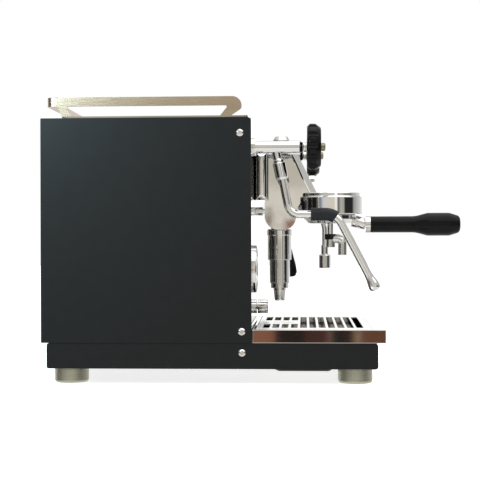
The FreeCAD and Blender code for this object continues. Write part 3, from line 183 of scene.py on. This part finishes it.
def finish(name, colour, metallic=0.0, rough=(0.3, 0.4), tone=0.1, tone_scale=60.0, stretch=(1, 1, 1),
           grain=1500.0, relief=0.00002, strength=0.3, **sockets):
    """A material whose tone, roughness and fine relief all vary over the surface."""
    material = bpy.data.materials.new(name)
    material.use_nodes = True
    graph = Graph(material.node_tree)
    output = graph.add("ShaderNodeOutputMaterial")
    shader = graph.add("ShaderNodeBsdfPrincipled")
    shader.inputs["Metallic"].default_value = metallic
    for socket, value in sockets.items():
        shader.inputs[socket.replace("_", " ")].default_value = value
    wide = graph.noise(tone_scale, stretch)
    fine = graph.noise(grain, stretch)
    tones = graph.ramp(wide, [(0.3, shade(colour, 1.0 - tone)), (0.7, shade(colour, 1.0 + tone))])
    graph.link(tones, shader.inputs["Base Color"])
    graph.link(graph.remap(fine, (0.3, 0.7), rough), shader.inputs["Roughness"])
    bump = graph.add("ShaderNodeBump")
    bump.inputs["Strength"].default_value = strength
    bump.inputs["Distance"].default_value = relief
    graph.link(fine, bump.inputs["Height"])
    graph.link(bump.outputs["Normal"], shader.inputs["Normal"])
    graph.link(shader.outputs["BSDF"], output.inputs["Surface"])
    return material


ALONG_Y = (1.0, 0.03, 1.0)
TURNED = (0.02, 0.02, 1.0)

FINISHES = {
    "black_sheet": finish("powder_coat", (0.0040, 0.0044, 0.0045), rough=(0.44, 0.52), tone=0.12,
                          grain=2600.0, relief=0.00005, strength=0.35, Specular_IOR_Level=0.19),
    "black_plastic": finish("moulded_plastic", (0.010, 0.010, 0.010), rough=(0.45, 0.6), grain=1800.0),
    "polished_steel": finish("polished_steel", (0.40, 0.39, 0.375), 1.0, rough=(0.03, 0.05), tone=0.03,
                             stretch=ALONG_Y, relief=0.000001, strength=0.2),
    "zinc_sheet": finish("plated_sheet", (0.40, 0.41, 0.42), 1.0, rough=(0.34, 0.46), tone=0.07,
                         tone_scale=70.0),
    "rail_steel": finish("brushed_rail", (0.36, 0.285, 0.21), 1.0, rough=(0.24, 0.38), tone=0.08,
                         stretch=ALONG_Y, relief=0.00001),
    "grate_steel": finish("brushed_grate", (0.76, 0.77, 0.76), 1.0, rough=(0.22, 0.34), tone=0.06,
                          stretch=ALONG_Y, relief=0.00001),
    "foot_metal": finish("turned_foot", (0.40, 0.40, 0.325), 1.0, rough=(0.34, 0.5), tone=0.1,
                         stretch=TURNED, relief=0.00003, strength=0.6),
    "screw_steel": finish("bright_screw", (0.60, 0.60, 0.59), 1.0, rough=(0.12, 0.24), tone=0.06),
    "tank_plastic": finish("tank_plastic", (0.70, 0.76, 0.80), rough=(0.12, 0.2), tone=0.03,
                           Transmission_Weight=0.6),
    "copper": finish("drawn_copper", (0.50, 0.25, 0.155), 1.0, rough=(0.18, 0.34), tone=0.2),
    "brass": finish("machined_brass", (0.19, 0.175, 0.115), 1.0, rough=(0.16, 0.3), tone=0.1),
    "element_steel": finish("satin_steel", (0.42, 0.41, 0.40), 1.0, rough=(0.2, 0.36)),
    "rubber": finish("rubber", (0.008, 0.008, 0.010), rough=(0.42, 0.52), tone=0.15, grain=1200.0,
                     Specular_IOR_Level=0.2),
    "chrome": finish("chrome_plate", (0.60, 0.60, 0.595), 1.0, rough=(0.025, 0.055), tone=0.02,
                     grain=90.0, relief=0.00006, strength=0.12),
    "gloss_black": finish("gloss_plastic", (0.0035, 0.0035, 0.0037), rough=(0.10, 0.16), tone=0.2,
                          grain=400.0, relief=0.00001, Specular_IOR_Level=0.10),
    "dial_white": finish("dial_face", (0.84, 0.84, 0.81), rough=(0.4, 0.5), tone=0.02),
    "clear_glass": finish("gauge_glass", (0.96, 0.98, 0.98), rough=(0.01, 0.03), tone=0.01,
                          Transmission_Weight=1.0),
}


def dress_nodes():
    for node, part in frame["nodes"].items():
        material = FINISHES[NODE_SLOT[node]]
        if not part.material_slots:
            part.data.materials.append(material)
        for place in part.material_slots:
            place.material = material


# Polished metal mirrors a studio brighter than the light that it gives to matt surfaces.
MIRRORED_STRENGTH = 1.65

BEIGE = (0.61, 0.575, 0.50)
COPPER_GLOW = (0.30, 0.135, 0.08)
DARK_GLOW = (0.022, 0.018, 0.017)

# Things standing in the studio that the polished faces mirror, as seen from the machine towards the camera:
# degrees towards the rear, degrees up, half width, half height and colour.
MIRRORED = [
    (0.0, -1.2, 20.0, 1.2, (0.40, 0.37, 0.31)),
    (0.0, 4.3, 8.0, 1.9, (0.47, 0.435, 0.37)),
    (-11.5, 5.8, 2.4, 1.7, (0.02, 0.02, 0.02)),
    (-20.5, 10.5, 5.2, 3.2, (1.0, 1.0, 0.98)),
    (-0.7, -4.7, 4.2, 1.6, COPPER_GLOW),
    (-3.9, -4.7, 1.5, 1.6, (0.165, 0.074, 0.044)),
    (0.55, -4.7, 0.85, 1.6, DARK_GLOW),
    (-0.55, -4.7, 0.55, 1.6, (0.075, 0.034, 0.026)),
    (-1.75, -4.7, 0.55, 1.6, DARK_GLOW),
    (-1.25, -4.7, 0.09, 0.3, (0.20, 0.14, 0.12)),
    (-2.55, -4.7, 0.14, 0.4, (0.34, 0.24, 0.17)),
    (0.62, 0.60, 0.34, 0.26, (0.17, 0.045, 0.03)),
    (1.68, 0.95, 0.13, 0.50, (0.06, 0.015, 0.008)),
]


# What reflections see near the horizon, round the machine: 0.5 is the camera's side, 0.75 the front, 0.25
# the rear, and 0 and 1 the far side.
WALL_AROUND = [
    (0.00, (1.0, 1.0, 1.0)), (0.17, (0.9, 0.9, 0.9)), (0.20, (0.015, 0.015, 0.02)),
    (0.33, (0.015, 0.015, 0.02)), (0.36, (0.42, 0.42, 0.40)), (0.40, (0.20, 0.19, 0.17)),
    (0.43, (0.50, 0.55, 0.63)), (0.455, BEIGE), (0.535, BEIGE), (0.555, (0.9, 0.9, 0.88)),
    (0.575, (0.10, 0.09, 0.08)), (0.60, (0.42, 0.40, 0.36)), (0.630, (0.36, 0.34, 0.31)),
    (0.645, (0.02, 0.02, 0.02)), (0.730, (0.02, 0.02, 0.02)), (0.750, (0.3, 0.3, 0.3)),
    (1.00, (1.0, 1.0, 1.0))]

# What they see well above and below it, from straight down (0) to straight up (1).
WALL_UPRIGHT = [
    (0.00, (0.70, 0.69, 0.66)), (0.30, (0.78, 0.76, 0.72)), (0.45, (0.26, 0.23, 0.19)),
    (0.56, (0.42, 0.39, 0.34)), (0.66, (0.50, 0.49, 0.46)), (0.80, (0.44, 0.43, 0.41)),
    (0.90, (0.72, 0.72, 0.71)), (1.00, (0.86, 0.86, 0.86))]
ABOVE_THE_WALL = (0.12, 0.30)
BELOW_THE_WALL = (-0.16, -0.24)
PATCH_EDGE = (1.12, 0.88)

# Name, place, the point it faces, size in metres, power in watts and colour.
LIGHTS = [
    ("ceiling_light", (-0.5, -0.5, 1.9), (0, 0, 0.1), 3.0, 26.0, (1, 1, 1)),
    ("window_light", (-0.62, 0.56, 0.58), (-0.15, 0.28, 0.34), 0.26, 7.0, (0.60, 0.87, 1.0)),
]


def studio_world():
    """White to the camera. Reflections see a wall with dark openings, the things before it and a ceiling."""
    world = bpy.data.worlds.new("studio")
    world.use_nodes = True
    bpy.context.scene.world = world
    graph = Graph(world.node_tree)
    split = graph.add("ShaderNodeSeparateXYZ")
    graph.link(graph.add("ShaderNodeTexCoord").outputs["Generated"], split.inputs[0])
    turn = graph.math("ARCTAN2", graph.math("MULTIPLY", split.outputs["Y"], -1.0),
                      graph.math("MULTIPLY", split.outputs["X"], -1.0))
    around = graph.math("ADD", graph.math("DIVIDE", turn, 2.0 * math.pi), 0.5)
    wall = graph.ramp(around, WALL_AROUND)
    upright = graph.ramp(graph.remap(split.outputs["Z"], (-1.0, 1.0), (0.0, 1.0)), WALL_UPRIGHT)
    above = graph.remap(split.outputs["Z"], ABOVE_THE_WALL, (0.0, 1.0), smooth=True)
    below = graph.remap(split.outputs["Z"], BELOW_THE_WALL, (0.0, 1.0), smooth=True)
    studio = graph.mix(graph.math("MAXIMUM", above, below), wall, upright)
    for thing in MIRRORED:
        studio = mirrored_thing(graph, studio, split, *thing)
    lit = graph.add("ShaderNodeBackground")
    graph.link(studio, lit.inputs["Color"])
    path = graph.add("ShaderNodeLightPath")
    strength = graph.remap(path.outputs["Is Glossy Ray"], (0.0, 1.0), (1.0, MIRRORED_STRENGTH))
    graph.link(strength, lit.inputs["Strength"])
    seen = graph.add("ShaderNodeBackground")
    seen.inputs["Color"].default_value = (1.0, 1.0, 1.0, 1.0)
    choose = graph.add("ShaderNodeMixShader")
    graph.link(path.outputs["Is Camera Ray"], choose.inputs[0])
    graph.link(lit.outputs[0], choose.inputs[1])
    graph.link(seen.outputs[0], choose.inputs[2])
    output = graph.add("ShaderNodeOutputWorld")
    graph.link(choose.outputs[0], output.inputs["Surface"])


def mirrored_thing(graph, behind, split, rearward, up, half_width, half_height, colour):
    """A soft-edged patch in front of the studio wall on the camera's side."""
    across = graph.math("SUBTRACT", split.outputs["Y"], math.sin(math.radians(rearward)))
    raised = graph.math("SUBTRACT", split.outputs["Z"], math.sin(math.radians(up)))
    wide = graph.math("DIVIDE", graph.math("ABSOLUTE", across), math.radians(half_width))
    tall = graph.math("DIVIDE", graph.math("ABSOLUTE", raised), math.radians(half_height))
    inside = graph.remap(graph.math("MAXIMUM", wide, tall), PATCH_EDGE, (0.0, 1.0), smooth=True)
    camera_side = graph.math("LESS_THAN", split.outputs["X"], 0.0)
    paint = graph.add("ShaderNodeRGB")
    paint.outputs[0].default_value = (*colour, 1.0)
    return graph.mix(graph.math("MULTIPLY", inside, camera_side), behind, paint.outputs[0])


def piece_from(mesh_data, name, body, slot):
    mesh = bpy.data.meshes.new(name)
    mesh_data.to_mesh(mesh)
    mesh_data.free()
    stored_normals = mesh.attributes.get("custom_normal")
    if stored_normals is not None:
        mesh.attributes.remove(stored_normals)
    piece = bpy.data.objects.new(name, mesh)
    bpy.context.collection.objects.link(piece)
    mesh.materials.clear()
    mesh.materials.append(FINISHES[slot])
    mesh.shade_smooth()
    mesh.set_sharp_from_angle(angle=math.radians(32.0))
    for face in mesh.polygons:
        square_to_axis = max(abs(value) for value in face.normal) > 0.99999
        face.use_smooth = not square_to_axis
    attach(piece, body)
    return piece


def rounded_outline(points, steps=10):
    """Corner points as (a, b, radius), with an arc of that radius in place of each corner."""
    outline = []
    for index, (a, b, radius) in enumerate(points):
        corner = Vector((a, b))
        if radius == 0.0:
            outline.append(corner)
            continue
        before = Vector(points[index - 1][:2]) - corner
        after = Vector(points[(index + 1) % len(points)][:2]) - corner
        half = before.angle(after) / 2.0
        reach = radius / math.tan(half)
        bisector = (before.normalized() + after.normalized()).normalized()
        centre = corner + bisector * (radius / math.sin(half))
        start = corner + before.normalized() * reach - centre
        end = corner + after.normalized() * reach - centre
        sweep = start.angle_signed(end)
        for step in range(steps + 1):
            angle = -sweep * step / steps
            turned = Vector((start.x * math.cos(angle) - start.y * math.sin(angle),
                             start.x * math.sin(angle) + start.y * math.cos(angle)))
            outline.append(centre + turned)
    return outline


def lathe(name, body, slot, start, direction, profile, steps=64):
    """A turned piece: (radius, distance along the axis) pairs spun about the axis."""
    data = bmesh.new()
    axis = Vector(direction).normalized()
    side = axis.orthogonal().normalized()
    ring = [data.verts.new(Vector(start) + axis * along + side * radius) for radius, along in profile]
    edges = [data.edges.new(pair) for pair in zip(ring, ring[1:])]
    bmesh.ops.spin(data, geom=ring + edges, cent=Vector(start), axis=axis, angle=math.tau, steps=steps,
                   use_merge=True)
    bmesh.ops.remove_doubles(data, verts=data.verts, dist=1e-7)
    bmesh.ops.recalc_face_normals(data, faces=data.faces)
    return piece_from(data, name, body, slot)


def millimetres(pairs):
    return [(first * MM, second * MM) for first, second in pairs]


def skin(rings, name, body, slot):
    """A closed piece through sections that all have the same number of points."""
    data = bmesh.new()
    loops = [[data.verts.new(point) for point in ring] for ring in rings]
    for first, second in zip(loops, loops[1:]):
        for index in range(len(first)):
            after = (index + 1) % len(first)
            data.faces.new((first[index], first[after], second[after], second[index]))
    data.faces.new(loops[0])
    data.faces.new(loops[-1])
    bmesh.ops.remove_doubles(data, verts=data.verts, dist=1e-7)
    bmesh.ops.recalc_face_normals(data, faces=data.faces)
    return piece_from(data, name, body, slot)


def body_outline(setback, inset):
    """The body's side outline, its raked front moved back by setback and its edges moved in by inset."""
    low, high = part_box("group_body")
    rear_corner, front_corner, step_corner = BODY_CORNERS
    rake = Vector((NECK_TOP_Y - NECK_FOOT[0], high.z - NECK_FOOT[1]))
    shift = setback * rake.length / rake.y
    outline = rounded_outline([
        (high.y, high.z, 0.0), (high.y, low.z, rear_corner), (BODY_FRONT, low.z, front_corner),
        (BODY_FRONT, STEP_Z, step_corner), (*UNDER_NECK, 0.0), (BELL_SEAT_Y, UNDER_NECK[1], 0.0),
        (BELL_SEAT_Y, NECK_FOOT[1], 0.0), (NECK_FOOT[0] + shift, NECK_FOOT[1], 0.0),
        (NECK_TOP_Y + shift, high.z, 0.0)])
    moved = []
    for index, (y, z) in enumerate(outline):
        along = (outline[(index + 1) % len(outline)] - outline[index - 1]).normalized()
        inward = Vector((-along.y, along.x))
        on_tongue = y < UNDER_NECK[0] and z < TONGUE_TOP_Z
        moved.append(outline[index] if on_tongue else outline[index] + inward * inset)
    return moved


def rounding_at(depth, radius):
    """How far a rounded edge has drawn back at a depth in from the side."""
    if depth >= radius:
        return 0.0
    return radius - math.sqrt(radius ** 2 - (radius - depth) ** 2)


def body_layers(half_width):
    """(x, setback of the raked front, inset of the edges) of each section from one side to the other."""
    depths = [NECK_ROUNDING * (1.0 - math.sin(math.radians(90.0 * step / NECK_STEPS)))
              for step in range(NECK_STEPS + 1)]
    depths += [EDGE_ROUNDING * (1.0 - step / EDGE_STEPS) for step in range(1, EDGE_STEPS)]
    half = [(half_width - depth, rounding_at(depth, NECK_ROUNDING), rounding_at(depth, EDGE_ROUNDING))
            for depth in sorted(depths, reverse=True)]
    return [(-x, setback, inset) for x, setback, inset in reversed(half)] + half


def group_casting():
    """The flat-sided group body; its raked front is well rounded and the other edges are just broken."""
    low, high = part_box("group_body")
    rings = [[(x, y, z) for y, z in body_outline(setback, inset)]
             for x, setback, inset in body_layers((high.x - low.x) / 2.0)]
    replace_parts(skin(rings, "group_casting", "machine", "chrome"), "group_body")


def tap_trim(name, knob, body, valve):
    """A turned brass cap nut on the knob and a bright gland nut behind it."""
    low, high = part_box(knob)
    centre_x = (low.x + high.x) / 2.0
    centre_z = (low.z + high.z) / 2.0
    forward = (0, -1, 0)
    lathe(name + "_cap", body, "brass", (centre_x, low.y + CAP_LENGTH, centre_z), forward,
          millimetres(CAP_PROFILE))
    barrel_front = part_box(valve)[0].y
    lathe(name + "_gland", body, "chrome", (centre_x, barrel_front - GLAND_OVERLAP, centre_z), forward,
          millimetres(GLAND_PROFILE))


def steam_nozzle():
    """The pear-shaped nozzle on the steam wand's end: slim at the tube, fullest near its tip."""
    low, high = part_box("steam_tip")
    centre_x = (low.x + high.x) / 2.0
    corner = Vector((centre_x, *STEAM_CORNER))
    end = Vector((centre_x, *STEAM_END))
    direction = (end - corner).normalized()
    nozzle = lathe("steam_nozzle", "steam_arm", "chrome", end - direction * NOZZLE_LENGTH, direction,
                   millimetres(NOZZLE_PROFILE))
    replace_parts(nozzle, "steam_tip")


def folded_tray():
    """The drip tray with the rounded outer edges of folded and polished sheet."""
    low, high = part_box("drip_tray")
    data = bmesh.new()
    data.from_mesh(frame["nodes"]["drip_tray"].data)
    bmesh.ops.remove_doubles(data, verts=data.verts, dist=1e-6)
    bmesh.ops.dissolve_limit(data, angle_limit=math.radians(1.0), verts=data.verts, edges=data.edges)
    bmesh.ops.bevel(data, geom=[edge for edge in data.edges if on_outer_edge(edge, low, high)],
                    offset=TRAY_ROUNDING, segments=4, profile=0.5, affect="EDGES", clamp_overlap=True)
    bmesh.ops.triangulate(data, faces=[face for face in data.faces if len(face.verts) > 4])
    piece = piece_from(data, "folded_tray", "tray", "polished_steel")
    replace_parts(piece, "drip_tray")


def base_covers():
    """The pump's round cover and the drain sump's wide shallow pan, both under the base."""
    low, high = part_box("underside_covers")
    outline = rounded_outline([
        (SUMP_REAR, high.z, 0.0), (low.y, high.z, 0.0),
        (low.y + SUMP_FRONT_SLOPE, SUMP_BOTTOM, SUMP_CORNER),
        (SUMP_REAR - SUMP_REAR_SLOPE, SUMP_BOTTOM, SUMP_CORNER)])
    middle = (outline[0] + outline[1]) / 2.0
    rings = [[(x * MM, *(middle + (point - middle) * size)) for point in outline]
             for x, size in SUMP_SECTIONS]
    pan = skin(rings, "sump_pan", "machine", "black_plastic")
    lathe("pump_cover", "machine", "black_plastic", (0, PUMP_Y, 0), (0, 0, 1), [
        (0.0, low.z), (12.0 * MM, low.z), (14.5 * MM, low.z + 0.4 * MM), (17.0 * MM, low.z + 1.8 * MM),
        (25.0 * MM, high.z - 1.0 * MM), (26.0 * MM, high.z), (0.0, high.z)])
    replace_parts(pan, "underside_covers")


def on_outer_edge(edge, low, high):
    """True where both ends of an edge lie on the same two outer planes of the box."""
    shared = 0
    for axis in range(3):
        for plane in (low[axis], high[axis]):
            if all(abs(vertex.co[axis] - plane) < SAME_PLANE for vertex in edge.verts):
                shared += 1
    return shared >= 2


def box_into(data, low, high):
    made = bmesh.ops.create_cube(data, size=1.0)["verts"]
    low, high = Vector(low), Vector(high)
    for vertex in made:
        vertex.co = Vector([low[i] + (vertex.co[i] + 0.5) * (high[i] - low[i]) for i in range(3)])


def dial_scale():
    """Raised ticks round the gauge's dial, longer at every fifth."""
    low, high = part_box("gauge_dial")
    centre = (low + high) / 2.0
    radius = (high.x - low.x) / 2.0
    face = low.y
    data = bmesh.new()
    for tick in range(TICKS):
        angle = math.radians(FIRST_TICK + TICK_STEP * tick)
        major = tick % 5 == 0
        inner = radius * (0.72 if major else 0.80)
        half = (0.45 if major else 0.22) * MM
        before = set(data.verts)
        box_into(data, (-half, face - TICK_RISE, inner), (half, face, radius * 0.88))
        bmesh.ops.rotate(data, verts=[v for v in data.verts if v not in before], cent=(0, face, 0),
                         matrix=Matrix.Rotation(angle, 3, "Y"))
    bmesh.ops.translate(data, verts=data.verts, vec=(centre.x, 0, centre.z))
    piece_from(data, "dial_scale", "machine", "gloss_black")


def soft_light(name, place, target, size, power, colour):
    light = bpy.data.lights.new(name, "AREA")
    light.shape = "DISK"
    light.size = size
    light.energy = power
    light.color = colour
    lamp = bpy.data.objects.new(name, light)
    lamp.location = place
    lamp.rotation_euler = (Vector(target) - Vector(place)).to_track_quat("-Z", "Y").to_euler()
    lamp.visible_camera = False
    bpy.context.collection.objects.link(lamp)


def pale_floor():
    mesh = bpy.data.meshes.new("floor")
    half = FLOOR_SIZE / 2.0
    corner_points = [(-half, -half, 0), (half, -half, 0), (half, half, 0), (-half, half, 0)]
    mesh.from_pydata(corner_points, [], [(0, 1, 2, 3)])
    floor = bpy.data.objects.new("floor", mesh)
    bpy.context.collection.objects.link(floor)
    mesh.materials.append(finish("pale_floor", (0.92, 0.92, 0.91), rough=(0.6, 0.7), tone=0.005, grain=200.0,
                                 Emission_Color=(1, 1, 1, 1), Emission_Strength=0.8))
    floor.visible_glossy = False


def side_camera():
    flat = math.cos(CAMERA_PITCH)
    forward = Vector((math.cos(CAMERA_YAW) * flat, math.sin(CAMERA_YAW) * flat, -math.sin(CAMERA_PITCH)))
    level = forward.cross(Vector((0, 0, 1))).normalized()
    upward = level.cross(forward)
    right = level * math.cos(CAMERA_ROLL) + upward * math.sin(CAMERA_ROLL)
    up = upward * math.cos(CAMERA_ROLL) - level * math.sin(CAMERA_ROLL)
    data = bpy.data.cameras.new("camera")
    data.lens = CAMERA_LENS
    data.sensor_width = SENSOR
    camera = bpy.data.objects.new("camera", data)
    turn = Matrix((right, up, -forward)).transposed()
    camera.matrix_world = Matrix.Translation(CAMERA_AT) @ turn.to_4x4()
    bpy.context.collection.objects.link(camera)
    bpy.context.scene.camera = camera


bpy.context.scene.view_settings.view_transform = "Standard"
dress_nodes()
studio_world()
pale_floor()
for light in LIGHTS:
    soft_light(*light)
group_casting()
tap_trim("steam_tap", "steam_knob", "steam_tap", "left_valve_body")
tap_trim("water_tap", "water_knob", "water_tap", "right_valve_body")
steam_nozzle()
folded_tray()
base_covers()
dial_scale()
side_camera()
